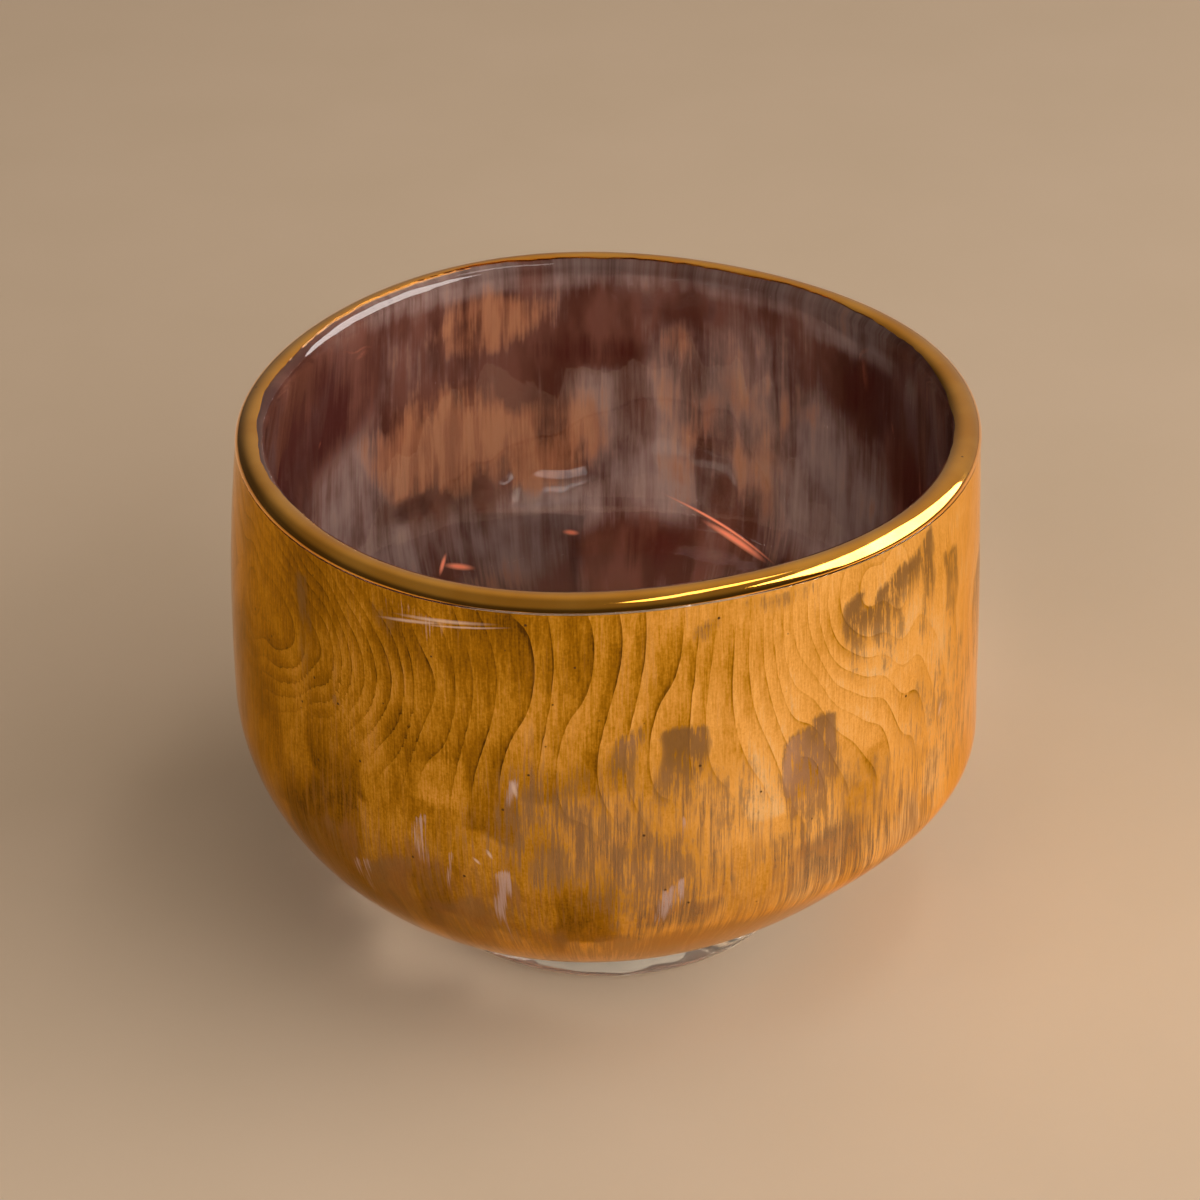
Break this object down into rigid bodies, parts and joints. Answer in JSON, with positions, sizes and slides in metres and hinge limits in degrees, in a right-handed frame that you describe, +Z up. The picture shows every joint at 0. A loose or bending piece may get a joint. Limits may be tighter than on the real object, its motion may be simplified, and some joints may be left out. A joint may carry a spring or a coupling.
{
  "type": "glass tea bowl",
  "caption": "Hand-blown clear glass tea bowl with upright wall and round shoulder on a low applied foot, gilded outside and over the lip.",
  "frame": {"origin": "on the floor under the middle of the bowl's outline", "axes": "+Z up through the bowl's mouth, -Y towards the front of the picture, +X to its right"},
  "size_m": [0.106, 0.106, 0.0765],
  "materials": {
    "clear_glass": "blown, fire-polished, the back of the gold seen through it",
    "foot_glass": "clear, fire-polished",
    "wall_gold": "fired gold lustre, brushed thin in patches",
    "rim_gold": "fired gold lustre, mirror bright"
  },
  "bodies": {
    "root": {"glass_bowl": "clear_glass", "foot_ring": "foot_glass", "wall_gilding": "wall_gold", "rim_gilding": "rim_gold"}
  },
  "joints": []
}
